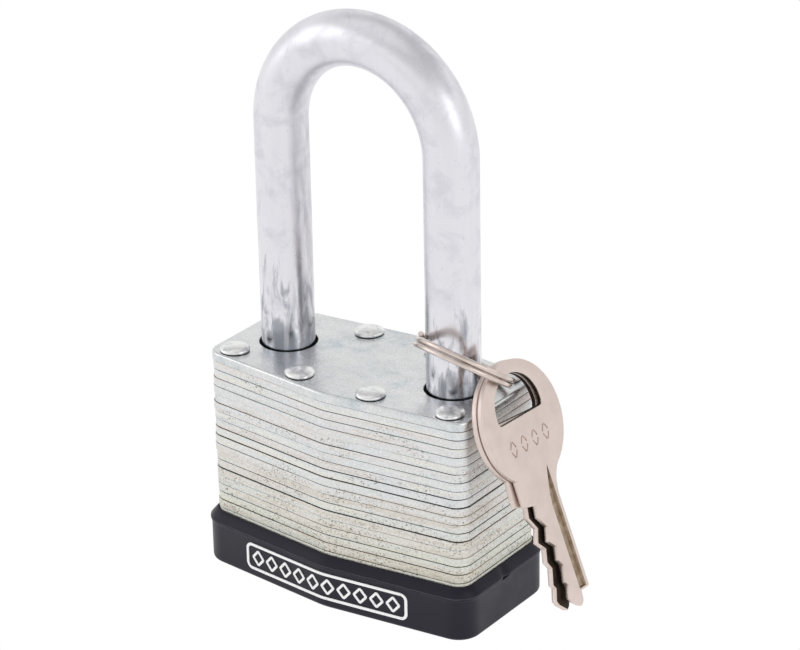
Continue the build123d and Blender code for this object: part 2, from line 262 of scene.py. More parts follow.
# %% Zinc plated sheet
def zinc_sheet():
    """Cold rolled and barrel plated: a satin metal with no mirror image and a sandy grain."""
    made, tree, shader = material("zinc_plated_sheet", Metallic=1.0)
    place = add(tree, "TexCoord", out="Object")
    # axis stretches, width of the lumps in mm, detail, roughness
    drift, sand, fine, patch, uneven, grain = [
        add(tree, "TexNoise", {"Vector": add(tree, "Mapping", {"Vector": place, "Scale": stretch}),
                               "Scale": 1 / (width * MM), "Detail": detail,
                               "Roughness": rough})
        for stretch, width, detail, rough in (
            ((0.05, 0.05, 1.0), 1.5, 2.0, 0.55), ((1.0, 1.0, 1.0), 0.36, 5.0, 0.75),
            ((0.7, 0.7, 1.0), 0.3, 5.0, 0.75), ((0.55, 0.55, 1.9), 4.0, 3.0, 0.55),
            ((0.12, 0.12, 1.0), 1.3, 4.0, 0.7), ((1.0, 1.0, 2.0), 0.45, 5.0, 0.65))]
    height = add(tree, "SeparateXYZ", {0: place}, out="Z")
    tint = add(tree, "ValToRGB", {0: drift},
               stops=[(0.36, "#DFDBD6"), (0.46, "#E5E3E2"), (0.54, "#E0E3E4"), (0.64, "#E7E6E1")])
    # straw towards the foot, where the passivate coat is thicker
    foot = add(tree, "MapRange", {"Value": height, "From Min": 24 * MM, "From Max": 10 * MM})
    tint = add(tree, "Mix", {0: foot, 6: tint, 7: paint("#FAF9F0")}, blend_type="MULTIPLY",
               **OF_COLOURS)
    tone = add(tree, "Mix",
               {0: 0.75, 6: tint,
                7: add(tree, "ValToRGB", {0: sand},
                       stops=[(0.33, "#4C4B49"), (0.48, "#9C9C9C"), (0.66, "#E6E6E6")])},
               blend_type="SOFT_LIGHT", **OF_COLOURS)
    # specks of dirt: fine noise, let through only where a broad noise and the low front allow it
    low = add(tree, "MapRange",
              {"Value": height, "From Min": 38 * MM, "From Max": 9 * MM, "To Min": -0.02,
               "To Max": 0.16})
    amount = add(tree, "Math", {0: patch, 1: low}, operation="ADD")
    gate = add(tree, "ValToRGB", {0: amount}, stops=[(0.53, 0.0), (0.66, 1.0)])
    specks = add(tree, "ValToRGB", {0: fine}, stops=[(0.54, 0.0), (0.64, 1.0)])
    dirt = add(tree, "Math", {0: gate, 1: specks}, operation="MULTIPLY")
    hue = add(tree, "ValToRGB", {0: patch}, stops=[(0.45, "#4A4642"), (0.65, "#76664A")])
    colour = add(tree, "Mix", {0: dirt, 6: tone, 7: hue}, **OF_COLOURS)
    # grime and painted shade in the seams, darker near each seam: the seam is where the height is a
    # whole number of sheets above the first
    count = add(tree, "Math", {0: height, 1: PITCH}, operation="DIVIDE")
    step = add(tree, "Math", {0: count, 1: -SEAM_Z / PITCH}, operation="ADD")
    seam = add(tree, "Math", {0: step, 1: 0.5}, operation="PINGPONG")
    reach = add(tree, "Math", {0: uneven, 1: 0.16, 2: -0.035}, operation="MULTIPLY_ADD")
    near = add(tree, "Math", {0: seam, 1: reach}, operation="DIVIDE")
    seam_grime_and_shade = add(tree, "ValToRGB", {0: near}, stops=[(0.4, 0.55), (1.0, 0.0)])
    colour = add(tree, "Mix", {0: seam_grime_and_shade, 6: colour, 7: paint("#5C5852")}, **OF_COLOURS)
    coat(tree, shader, colour, add(tree, "ValToRGB", {0: grain}, stops=[(0.3, 0.42), (0.7, 0.58)]),
         add(tree, "Bump", {"Height": grain, "Distance": 0.03 * MM}))
    return made


ZINC = zinc_sheet()
print("made", ZINC.name)

# %% [markdown]
# ## Galvanised top plate
# The thick top plate is bright galvanised sheet. It is smoother than the cut edges, faintly
# blue, and it carries long soft smudges and a few dark pinpricks.

# %% Galvanised sheet
def galvanised():
    """Hot dipped and rolled: smoother than a cut edge, so it mirrors the legs softly."""
    made, tree, shader = material("galvanised_sheet", Metallic=1.0)
    place = add(tree, "TexCoord", out="Object")
    # axis stretches, width of the lumps in mm, detail, roughness
    cloud, sand, pores, smear, grain = [
        add(tree, "TexNoise", {"Vector": add(tree, "Mapping", {"Vector": place, "Scale": stretch}),
                               "Scale": 1 / (width * MM), "Detail": detail,
                               "Roughness": rough})
        for stretch, width, detail, rough in (
            ((1.0, 1.0, 1.0), 5.0, 6.0, 0.65), ((1.0, 1.0, 1.0), 0.38, 5.0, 0.75),
            ((1.0, 1.0, 1.0), 0.45, 3.0, 0.8), ((0.6, 1.0, 1.0), 2.2, 5.0, 0.55),
            ((1.0, 1.0, 1.0), 0.5, 5.0, 0.6))]
    tone = add(tree, "ValToRGB", {0: cloud},
               stops=[(0.34, "#CBD1D4"), (0.46, "#DBDDDE"), (0.66, "#E2E2E1")])
    tone = add(tree, "Mix",
               {0: 0.65, 6: tone,
                7: add(tree, "ValToRGB", {0: sand},
                       stops=[(0.36, "#56595B"), (0.5, "#A2A4A5"), (0.64, "#DDDDDD")])},
               blend_type="SOFT_LIGHT", **OF_COLOURS)
    colour = add(tree, "Mix",
                 {0: add(tree, "ValToRGB", {0: pores}, stops=[(0.66, 0.0), (0.74, 0.7)]), 6: tone,
                  7: paint("#6A6E70")}, **OF_COLOURS)
    coat(tree, shader, colour, add(tree, "ValToRGB", {0: smear}, stops=[(0.3, 0.22), (0.7, 0.36)]),
         add(tree, "Bump", {"Height": grain, "Distance": 0.03 * MM}))
    return made


TOP_ZINC = galvanised()
print("made", TOP_ZINC.name)

# %% [markdown]
# ## Plated bar and rivets
# The shackle is drawn steel bar with bright zinc plating. Drawing leaves faint lines along the
# bar, and the plating bath leaves cloudy streaks. Low on the legs, darker bluish streaks are a
# painted reflection of the top plate, and a dull band down the inner side of the heel leg is a
# painted reflection of the other leg.

# %% Bright plated bar
def plated_bar():
    """Drawn, then bright plated: near a mirror low down, cloudier on the worked bow."""
    made, tree, shader = material("bright_plated_bar", Metallic=1.0)
    place = add(tree, "TexCoord", out="Object")
    # axis stretches, width of the lumps in mm, detail, roughness, twist
    cloud, lines, spots, smear, ripple = [
        add(tree, "TexNoise", {"Vector": add(tree, "Mapping", {"Vector": place, "Scale": stretch}),
                               "Scale": 1 / (width * MM), "Detail": detail,
                               "Roughness": rough, "Distortion": twist})
        for stretch, width, detail, rough, twist in (
            ((1.0, 1.0, 1.0), 5.0, 6.0, 0.65, 0.5), ((1.0, 1.0, 0.12), 1.0, 4.0, 0.6, 0.0),
            ((1.0, 1.0, 1.0), 0.5, 3.0, 0.7, 0.0), ((1.0, 1.0, 0.22), 1.7, 5.0, 0.6, 0.6),
            ((1.0, 1.0, 0.4), 0.9, 5.0, 0.6, 0.0))]
    height = add(tree, "SeparateXYZ", {0: place}, out="Z")
    tone = add(tree, "ValToRGB", {0: cloud}, stops=[(0.36, "#D6D6DC"), (0.52, "#E3E2E7")])
    tone = add(tree, "Mix",
               {0: 0.25, 6: tone,
                7: add(tree, "ValToRGB", {0: lines}, stops=[(0.35, "#8C8C8E"), (0.65, "#C4C4C4")])},
               blend_type="SOFT_LIGHT", **OF_COLOURS)
    tone = add(tree, "Mix",
               {0: add(tree, "ValToRGB", {0: spots}, stops=[(0.67, 0.0), (0.76, 0.6)]), 6: tone,
                7: paint("#77777C")}, **OF_COLOURS)
    # painted reflection: darker, bluish streaks low on the legs, where the bar mirrors the top
    # plate
    low = add(tree, "MapRange",
              {"Value": height, "From Min": TOP_Z, "From Max": TOP_Z + 20 * MM, "To Min": 0.22,
               "To Max": -0.12})
    amount = add(tree, "Math", {0: smear, 1: low}, operation="ADD")
    tone = add(tree, "Mix",
               {0: add(tree, "ValToRGB", {0: amount},
                       stops=[(0.56, 0.0), (0.66, 0.5), (0.74, 0.75)]), 6: tone,
                7: paint("#7D828C")}, **OF_COLOURS)
    # painted reflection: a dull band down the inner side of the heel leg, where it mirrors the
    # other leg
    toward = add(tree, "VectorMath", {0: place, 1: (0.81, 0.58, 0.0)}, out="Value",
                 operation="DOT_PRODUCT")
    heel_leg_reflection_band = add(tree, "ValToRGB",
               {0: add(tree, "MapRange",
                       {"Value": toward, "From Min": -0.81 * LEG_X + 1.0 * MM,
                        "From Max": -0.81 * LEG_X + 4.7 * MM})},
               stops=[(0.0, 0.0), (0.3, 0.55), (0.85, 0.75), (1.0, 0.0)])
    straight = add(tree, "MapRange",
                   {"Value": height, "From Min": ARCH_Z - 12 * MM, "From Max": ARCH_Z + 8 * MM,
                    "To Min": 1.0, "To Max": 0.0})
    heel_leg_reflection_band = add(tree, "Math", {0: heel_leg_reflection_band, 1: straight}, operation="MULTIPLY")
    painted_leg_reflection = add(tree, "Math",
               {0: heel_leg_reflection_band, 1: add(tree, "ValToRGB", {0: smear}, stops=[(0.38, 0.15), (0.62, 1.0)])},
               operation="MULTIPLY")
    tone = add(tree, "Mix", {0: painted_leg_reflection, 6: tone, 7: paint("#A29FA5")}, **OF_COLOURS)
    polish = add(tree, "MapRange",
                 {"Value": height, "From Min": TOP_Z + 6 * MM, "From Max": TOP_Z + 26 * MM,
                  "To Min": 0.0, "To Max": 0.2})
    haze = add(tree, "ValToRGB", {0: cloud}, stops=[(0.3, 0.24), (0.7, 0.12)])
    coat(tree, shader, tone, add(tree, "Math", {0: haze, 1: polish}, operation="ADD"),
         add(tree, "Bump", {"Height": ripple, "Distance": 0.02 * MM}))
    return made


def peened_head():
    """Hammered cold: shallow dents break up the reflections; the foot of the head is painted dark
    as the shade under it.
    """
    made, tree, shader = material("peened_rivet_steel", Metallic=1.0)
    place = add(tree, "TexCoord", out="Object")
    dents = add(tree, "TexNoise",
                {"Vector": place, "Scale": 1 / (1.1 * MM), "Detail": 3.0, "Roughness": 0.55})
    fine = add(tree, "TexNoise",
               {"Vector": place, "Scale": 1 / (0.25 * MM), "Detail": 3.0, "Roughness": 0.7})
    tone = add(tree, "ValToRGB", {0: dents}, stops=[(0.34, "#CFD2D4"), (0.48, "#F0F0EF")])
    tone = add(tree, "Mix",
               {0: add(tree, "ValToRGB", {0: fine}, stops=[(0.62, 0.0), (0.74, 0.45)]), 6: tone,
                7: paint("#888B8D")}, **OF_COLOURS)
    height = add(tree, "SeparateXYZ", {0: place}, out="Z")
    # painted shade: the head darkens to teal grey over its lowest quarter millimetre, as the shadow
    # under the head
    rim = add(tree, "MapRange",
              {"Value": height, "From Min": TOP_Z + 0.06 * MM, "From Max": TOP_Z + 0.24 * MM,
               "To Min": 0.9, "To Max": 0.0})
    coat(tree, shader, add(tree, "Mix", {0: rim, 6: tone, 7: paint("#3F4A4C")}, **OF_COLOURS), 0.3,
         add(tree, "Bump", {"Height": dents, "Distance": 0.07 * MM}))
    return made


BAR = plated_bar()
RIVET = peened_head()
print("made", BAR.name, "and", RIVET.name)

# %% [markdown]
# ## Moulded guard
# The guard is injection moulded in black, probably a tough polypropylene. The mould's fine
# spark texture makes it satin. A thin grey line on the raised lip is partly handling scuffs and
# partly a painted highlight.

# %% Black moulded plastic
def black_moulding():
    """Spark-eroded mould: a satin skin with soft highlights, and a pale edge line that is part
    scuff, part painted highlight.
    """
    made, tree, shader = material("black_polypropylene", Metallic=0.0, IOR=1.49,
                                  Specular_IOR_Level=0.28)
    place = add(tree, "TexCoord", out="Object")
    # axis stretches, width of the lumps in mm, detail, roughness
    cloud, nicks, dust, spark = [
        add(tree, "TexNoise", {"Vector": add(tree, "Mapping", {"Vector": place, "Scale": stretch}),
                               "Scale": 1 / (width * MM), "Detail": detail,
                               "Roughness": rough})
        for stretch, width, detail, rough in (
            ((1.0, 1.0, 1.0), 8.0, 4.0, 0.55), ((0.5, 0.5, 1.0), 0.9, 4.0, 0.7),
            ((1.0, 1.0, 1.0), 0.6, 4.0, 0.8), ((1.0, 1.0, 1.0), 0.35, 4.0, 0.7))]
    skin = add(tree, "ValToRGB", {0: cloud}, stops=[(0.3, "#110F1E"), (0.7, "#171424")])
    # the lip's edge gets a thin grey line, partly scuffing and partly a painted highlight, and the
    # parting line has left small pale nicks
    height = add(tree, "SeparateXYZ", {0: place}, out="Z")
    shifted = add(tree, "Math", {0: nicks, 1: 0.5 * MM, 2: height}, operation="MULTIPLY_ADD")
    edge = add(tree, "MapRange",
               {"Value": shifted, "From Min": LIP_Z - 0.4 * MM, "From Max": LIP_Z + 0.8 * MM})
    scuff_and_highlight = add(tree, "ValToRGB", {0: edge}, stops=[(0.3, 0.0), (0.42, 0.5), (0.52, 0.0)])
    skin = add(tree, "Mix", {0: scuff_and_highlight, 6: skin, 7: paint("#59565F")}, **OF_COLOURS)
    skin = add(tree, "Mix",
               {0: add(tree, "ValToRGB", {0: dust}, stops=[(0.66, 0.0), (0.76, 0.25)]), 6: skin,
                7: paint("#6A6870")}, **OF_COLOURS)
    coat(tree, shader, skin, add(tree, "ValToRGB", {0: cloud}, stops=[(0.3, 0.36), (0.7, 0.5)]),
         add(tree, "Bump", {"Height": spark, "Distance": 0.025 * MM}))
    return made


def white_paint():
    """Pad printed on raised strokes: flat white, thinner where it was rubbed."""
    made, tree, shader = material("white_marking_paint", Metallic=0.0)
    place = add(tree, "TexCoord", out="Object")
    thin = add(tree, "TexNoise",
               {"Vector": place, "Scale": 1 / (0.5 * MM), "Detail": 4.0, "Roughness": 0.55})
    coat(tree, shader,
         add(tree, "ValToRGB", {0: thin}, stops=[(0.28, "#C9CACC"), (0.4, "#F4F4F4")]), 0.5,
         add(tree, "Bump", {"Height": thin, "Distance": 0.01 * MM}))
    return made


BLACK = black_moulding()
WHITE = white_paint()
print("made", BLACK.name, "and", WHITE.name)

# %% [markdown]
# ## Keys, wire and inner metals
# The keys are nickel plated blanks, tumbled, so they are satin with a warm grey-pink cast. A
# dark brown nickel is painted shade on the rear key's blade behind the front key and on the
# straight wall inside each bow hole. The ring is bright spring wire. Inside, the plug, its housing
# and the pins are turned brass, and the levers, clip and cam are plain steel.

# %% Key nickel, wire, brass and plain steel
def tumbled(name, light, dark, rough_low, rough_high, size_mm=3.0, scratch=0.35):
    """Tumbled or drawn metal: faint clouds size_mm wide and short brushed marks scratch mm wide."""
    made, tree, shader = material(name, Metallic=1.0)
    place = add(tree, "TexCoord", out="Object")
    cloud = add(tree, "TexNoise",
                {"Vector": place, "Scale": 1 / (size_mm * MM), "Detail": 4.0, "Roughness": 0.55})
    fine = add(tree, "TexNoise",
               {"Vector": add(tree, "Mapping", {"Vector": place, "Scale": (1.0, 0.25, 1.0)}),
                "Scale": 1 / (scratch * MM), "Detail": 3.0, "Roughness": 0.55})
    coat(tree, shader, add(tree, "ValToRGB", {0: cloud}, stops=[(0.3, dark), (0.65, light)]),
         add(tree, "ValToRGB", {0: fine}, stops=[(0.3, rough_low), (0.7, rough_high)]),
         add(tree, "Bump", {"Height": fine, "Distance": 0.004 * MM}))
    return made


NICKEL = tumbled("tumbled_nickel_key", "#DFD1CA", "#D7C8C1", 0.36, 0.48)
CUT = tumbled("milled_key_brass", "#B7A692", "#8F7C68", 0.34, 0.46, size_mm=1.2)
# painted shade: dark brown nickel for the rear key's blade behind the front key and the bow holes'
# inner walls
KEY_SHADE_NICKEL = tumbled("painted_shade_key_nickel", "#4A3E36", "#2C2520", 0.45, 0.60, size_mm=1.5)
WIRE = tumbled("bright_spring_wire", "#E0D4CE", "#C4B6AE", 0.16, 0.26)
BRASS = tumbled("turned_brass", "#D9BE7C", "#C6A662", 0.22, 0.34)
STEEL = tumbled("plain_steel", "#B4B4B6", "#9C9CA0", 0.26, 0.40)
print("made", NICKEL.name, CUT.name, KEY_SHADE_NICKEL.name, WIRE.name, BRASS.name, STEEL.name)

# %% [markdown]
# ## The stack's outline
# Each sheet has the same plan: straight ends, and a front and a back that come to a shallow
# point. A plan like this is a polygon with an arc at each corner. Sampling it evenly by length
# gives a loop that a profile can be carried round, and the outward normals let one loop serve
# the sheets, the guard's wall and its lip.

# %% Outline of the stack
def rounded_polygon(corners, radii, spacing):
    """Closed loop round a polygon with an arc in each corner, and its outward normals.

    A corner of turn t and radius r is an arc whose tangent points lie r tan(t/2) from it. Points
    are spaced evenly on the straights, and every arc gets at least nine of them."""
    corners = np.array(corners, float)
    arcs = []
    for i, (here, radius) in enumerate(zip(corners, radii)):
        before, after = corners[i - 1], corners[(i + 1) % len(corners)]
        u = (here - before) / np.linalg.norm(here - before)
        v = (after - here) / np.linalg.norm(after - here)
        turn = np.arctan2(u[0] * v[1] - u[1] * v[0], u @ v)
        out = np.array([u[1], -u[0]])
        side = 1 if turn > 0 else -1
        centre = here - u * (radius * np.tan(abs(turn) / 2)) - out * radius * side
        angle = np.linspace(0, turn, max(9, int(radius * abs(turn) / spacing)))
        c, s = np.cos(angle), np.sin(angle)
        spin = np.stack([c * out[0] - s * out[1], s * out[0] + c * out[1]], -1)
        arcs.append((centre + spin * radius * side, spin))
    loop, normals = [], []
    for (arc, spin), (ahead, facing) in zip(arcs, arcs[1:] + arcs[:1]):
        gap = ahead[0] - arc[-1]
        t = np.linspace(0, 1, max(1, int(np.linalg.norm(gap) / spacing)) + 1)[1:-1, None]
        loop += [arc, arc[-1] + gap * t]
        normals += [spin, np.repeat(facing[:1], len(t), 0)]
    return np.concatenate(loop), np.concatenate(normals)


PLAN = [(-HALF_W, -HALF_END), (0, -HALF_MID), (HALF_W, -HALF_END),
        (HALF_W, HALF_END), (0, HALF_MID), (-HALF_W, HALF_END)]
PLAN_R = [CORNER_R, BEND_R, CORNER_R] * 2
OUTLINE, OUTWARD = rounded_polygon(PLAN, PLAN_R, 0.6 * MM)
print("outline has", len(OUTLINE), "points")


def ring_loop(x, y, radius, count=48):
    """Circle in plan."""
    a = np.arange(count) * 2 * np.pi / count
    return np.stack([x + radius * np.cos(a), y + radius * np.sin(a)], -1)


# %% [markdown]
# ## Punched sheets
# A punch rolls the edge that it enters and tears a small burr where it leaves. So each sheet
# gets a soft upper edge, a crisp lower edge, and a hair of air to its neighbour, which is the
# dark line between two sheets. No two sheets line up exactly: each is shifted by up to a tenth
# of a millimetre and its edge wanders a little. The sheets were made as one grid each, a
# profile carried round the outline, because that keeps the rolled edge smooth at the corners.

# %% Sheets
LEVER_SLOT = 5.5 * MM
HOLE_R = 4.85 * MM
HOLE_LIP = 0.08 * MM
RIVET_SPOTS = [(sx * x, sy * y) for x, y in ((21.5, 8.1), (7.1, 9.5))
               for sx in (-1, 1) for sy in (-1, 1)]


def keyhole():
    """Plan of the cylinder's pocket: a circle with a straight-sided block towards the toe."""
    radius, half, end = 7.1 * MM, 3.7 * MM, 17.8 * MM
    a = np.linspace(np.arcsin(half / radius), 2 * np.pi - np.arcsin(half / radius), 60)
    arc = np.stack([radius * np.cos(a), radius * np.sin(a)], -1)
    return np.concatenate([arc, [[end, -half], [end, half]]])


def lever_pocket():
    """Plan of the levers' pocket: a slot that runs into both shackle holes."""
    a = np.linspace(-np.pi / 2, np.pi / 2, 24)
    cap = np.stack([LEG_X + HOLE_R * np.cos(a), HOLE_R * np.sin(a)], -1)
    right_end = np.concatenate([[[LEG_X, -LEVER_SLOT]], cap, [[LEG_X, LEVER_SLOT]]])
    return np.concatenate([right_end, -right_end])


def rectangle(x0, x1, y0, y1):
    """Four corners in plan."""
    return np.array([[x0, y0], [x1, y0], [x1, y1], [x0, y1]])


def sheet_holes(index):
    """Every hole of sheet number index, counted down from the top plate."""
    holes = [ring_loop(x * MM, y * MM, 1.55 * MM, 20) for x, y in RIVET_SPOTS]
    if index in (4, 5):
        return holes + [lever_pocket()]
    if index < 9:
        holes.append(ring_loop(LEG_X, 0, HOLE_R, 72))
    if index == 9:
        holes.append(rectangle(-LEG_X - 6.6 * MM, -LEG_X + 4.6 * MM, -6.6 * MM, 6.6 * MM))
    elif index < 24:
        holes.append(ring_loop(-LEG_X, 0, HOLE_R, 72))
    if index == 3:
        holes.append(rectangle(-8.3 * MM, 8.3 * MM, -3.3 * MM, 3.3 * MM))
    if 6 <= index <= 9:
        holes.append(ring_loop(0, 0, 3.6 * MM))
    if index == 10:
        holes.append(ring_loop(0, 0, 6.8 * MM))
    if 11 <= index <= 23:
        holes.append(keyhole())
    if index == 24:
        holes.append(ring_loop(0, 0, 5.8 * MM))
    return holes


def edge_profile(low, high, roll, burr, steps=5):
    """Offsets and heights down a punched edge: quarter circle, straight, quarter circle."""
    a = np.linspace(0, np.pi / 2, steps)
    top = np.stack([-roll + roll * np.sin(a), high - roll + roll * np.cos(a)], -1)
    foot = np.stack([-burr + burr * np.cos(a), low + burr - burr * np.sin(a)], -1)
    return np.concatenate([[[-roll - 0.15 * MM, high]], top, foot, [[-burr - 0.15 * MM, low]]])


def wander(rng, angle, size):
    """Slow closed wobble round the outline: four harmonics with random phases."""
    k = np.array([2, 3, 5, 9])[:, None]
    phase = rng.uniform(0, 2 * np.pi, (4, 1))
    return size * (np.sin(k * angle + phase) / k**0.5).sum(0) / 2


def sheet(index, rng):
    """One punched sheet: a rolled outer edge, chamfered holes, flat faces filled between them."""
    low, high = (corner.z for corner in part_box(f"plate_{index:02d}"))
    top_plate = index == 1
    gap = rng.choice([0.03, 0.06, 0.10, 0.17], p=[0.3, 0.35, 0.25, 0.1]) * MM
    low = low + gap
    roll = (0.42 if top_plate else rng.uniform(0.07, 0.15)) * MM
    profile = edge_profile(low, high, roll, 0.05 * MM)
    angle = np.arctan2(OUTLINE[:, 1], OUTLINE[:, 0])
    shift = np.zeros(2) if top_plate else rng.uniform(-0.09, 0.09, 2) * MM
    inset = 0.0 if top_plate else rng.uniform(0.0, 0.08) * MM
    edge = OUTLINE + shift + OUTWARD * (wander(rng, angle, 0.03 * MM) - inset)[:, None]
    rows = np.concatenate([at_height(edge + OUTWARD * off, z) for off, z in profile])
    shell = Shell()
    shell.add(rows, grid_faces(len(profile), len(edge)))
    wides = []
    for hole in sheet_holes(index):
        wide, levels = hole, [(hole, high), (hole, low)]
        if len(hole) > 8:
            ahead = np.roll(hole, -1, 0) - np.roll(hole, 1, 0)
            out = np.stack([ahead[:, 1], -ahead[:, 0]], -1)
            wide = hole + out / np.linalg.norm(out, axis=1, keepdims=True) * HOLE_LIP
            levels = [(wide, high), (hole, high - HOLE_LIP), (hole, low + HOLE_LIP), (wide, low)]
        shell.add(np.concatenate([at_height(*level) for level in levels]),
                  grid_faces(len(levels), len(hole)))
        wides.append(wide)
    for row, z, up in ((0, high, True), (len(profile) - 1, low, False)):
        rim = rows[row * len(edge):(row + 1) * len(edge), :2]
        shell.add(*fill([rim] + wides, z, up))
    return shell.make(f"sheet_{index:02d}", "lock_body", f"plate_{index:02d}",
                      "zinc_top" if top_plate else "zinc_sheet", [TOP_ZINC if top_plate else ZINC])


rng = np.random.default_rng(7)
for number in range(1, 25):
    sheet(number, rng)

# %% [markdown]
# ## Rivets
# Eight steel pins run through the stack, and their heads are peened over the top plate. A
# peened head is a low dome with a short upright rim that stands a hair off the plate. Each one
# is a profile turned round its axis, squashed a little differently by the hammer.

# %% Rivets
def rivet_profile():
    """Radius and height up a rivet: shank, underside of the head, rim, then an elliptical dome."""
    head, rim, rise = 2.46 * MM, 0.32 * MM, 1.05 * MM
    a = np.linspace(0, np.pi / 2, 14)
    dome = np.stack([head * np.cos(a) ** 0.9, TOP_Z + rim + (rise - rim) * np.sin(a)], -1)
    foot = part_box("rivets")[0].z
    shank, seat = 1.5 * MM, TOP_Z + 0.03 * MM
    under = [[shank, foot], [shank, seat], [head - 0.2 * MM, seat],
             [head - 0.05 * MM, TOP_Z + 0.12 * MM]]
    return np.concatenate([under, dome])


def rivets(rng):
    """Eight turned heads; the hammer leaves each about 0.06 mm out of round and slightly tilted."""
    profile = rivet_profile()
    a = np.arange(48) * 2 * np.pi / 48
    shell = Shell()
    for x, y in RIVET_SPOTS:
        lump = (1 + 0.02 * np.sin(2 * a + rng.uniform(0, 6))
                + 0.012 * np.sin(3 * a + rng.uniform(0, 6)))
        radius = profile[:, 0, None] * np.where(profile[:, 1, None] > TOP_Z, lump, 1.0)
        tilt = rng.uniform(-0.02, 0.02, 2)
        px, py = radius * np.cos(a), radius * np.sin(a)
        lift = np.clip((profile[:, 1, None] - TOP_Z) / MM, 0, 1)
        pz = profile[:, 1, None] + lift * (px * tilt[0] + py * tilt[1])
        points = np.stack([px + x * MM, py + y * MM, pz], -1).reshape(-1, 3)
        shell.add(points, grid_faces(len(profile), 48))
        shell.add(points[:48], [list(range(48))[::-1]])
    return shell.make("rivet_heads", "lock_body", "rivets", "rivet_steel", [RIVET], weld=2e-6)


rivets(np.random.default_rng(3))

# %% [markdown]
# ## Shackle
# The shackle is one drawn bar bent round a former. A circle carried along the path gives the
# legs and the bow. The neck, the collar and the chamfered toe are only changes of radius along
# the same path, and each locking notch is a flat: points beyond its plane are moved onto it.

# %% Shackle
def shackle():
    """Circle of 72 points carried up the heel leg, round the arch and down the toe leg."""
    foot, toe = bar_low.z, 27.4 * MM
    collar, neck, full = foot + 2.3 * MM, 26.5 * MM, 26.7 * MM
    notch_low, notch_high = 30.6 * MM, 34.0 * MM
    flat = LEG_X - BAR_R + 1.6 * MM
    eps = 0.02 * MM
    heel = [(foot, 0), (foot, 0.93), (foot + 0.3 * MM, 1), (collar - 0.3 * MM, 1),
            (collar, 0.93), (collar + eps, 0.629), (neck - eps, 0.629), (neck, 0.95), (full, 1.0)]
    both = [notch_low - eps, notch_low, notch_high, notch_high + eps]
    z_up = np.concatenate([[z for z, _ in heel], both, np.linspace(36 * MM, ARCH_Z, 60)])
    r_up = np.concatenate([[r for _, r in heel], np.ones(4 + 60)])
    bend = np.linspace(np.pi, 0, 97)[1:-1]
    z_down = np.concatenate([np.linspace(ARCH_Z, 36 * MM, 60), both[::-1],
                             [toe + 0.9 * MM, toe, toe]])
    r_down = np.concatenate([np.ones(65), [0.8, 0.0]])
    centre = np.concatenate([np.c_[np.full(len(z_up), -LEG_X), z_up],
                             np.c_[LEG_X * np.cos(bend), ARCH_Z + LEG_X * np.sin(bend)],
                             np.c_[np.full(len(z_down), LEG_X), z_down]])
    side = np.concatenate([np.tile([-1.0, 0], (len(z_up), 1)), np.c_[np.cos(bend), np.sin(bend)],
                           np.tile([1.0, 0], (len(z_down), 1))])
    radius = np.concatenate([r_up, np.ones(len(bend)), r_down]) * BAR_R
    a = np.arange(72) * 2 * np.pi / 72
    x = centre[:, :1] + side[:, :1] * radius[:, None] * np.cos(a)
    z = centre[:, 1:] + side[:, 1:] * radius[:, None] * np.cos(a)
    y = radius[:, None] * np.sin(a) + 0 * x
    cut = (z >= notch_low - eps / 2) & (z <= notch_high + eps / 2)
    x = np.where(cut & (x < 0), np.minimum(x, -flat), x)
    x = np.where(cut & (x > 0), np.maximum(x, flat), x)
    shell = Shell()
    shell.add(np.stack([x, y, z], -1), grid_faces(len(centre), 72))
    return shell.make("shackle_bar", "shackle_body", "shackle", "shackle_plate", [BAR],
                      sharp=40, weld=1e-6)


shackle()

# %% [markdown]
# ## Guard
# The guard is one moulding: a wall with an overhanging, sloping lip, and a floor with an opening
# for the key. Its section is carried round the stack's outline as a closed loop of rings, and
# the rings of the floor change step by step from the outline's shape to the round opening.

# %% Guard
FLOOR = 2.3 * MM
WALL = 1.28 * MM
LIP = bumper_high.x - HALF_W


def guard_section():
    """Offset from the stack and height: up the outside, over the lip and down inside."""
    a = np.linspace(0, np.pi / 2, 7)
    foot = np.stack([WALL - 0.7 * MM + 0.7 * MM * np.sin(a), 0.7 * MM - 0.7 * MM * np.cos(a)], -1)
    bead = [[WALL, LIP_Z - 0.85 * MM], [WALL + 0.05 * MM, LIP_Z - 0.75 * MM],
            [LIP - 0.05 * MM, LIP_Z - 0.55 * MM], [LIP, LIP_Z - 0.3 * MM],
            [LIP - 0.04 * MM, LIP_Z + 0.02 * MM]]
    slope = np.array([[0.35, 9.22], [0.22, 9.3], [0.08, 9.3], [0.03, 9.2]]) * MM
    return np.concatenate([foot, bead, slope, [[0.03 * MM, FLOOR + 0.1 * MM], [0.0, FLOOR]]])


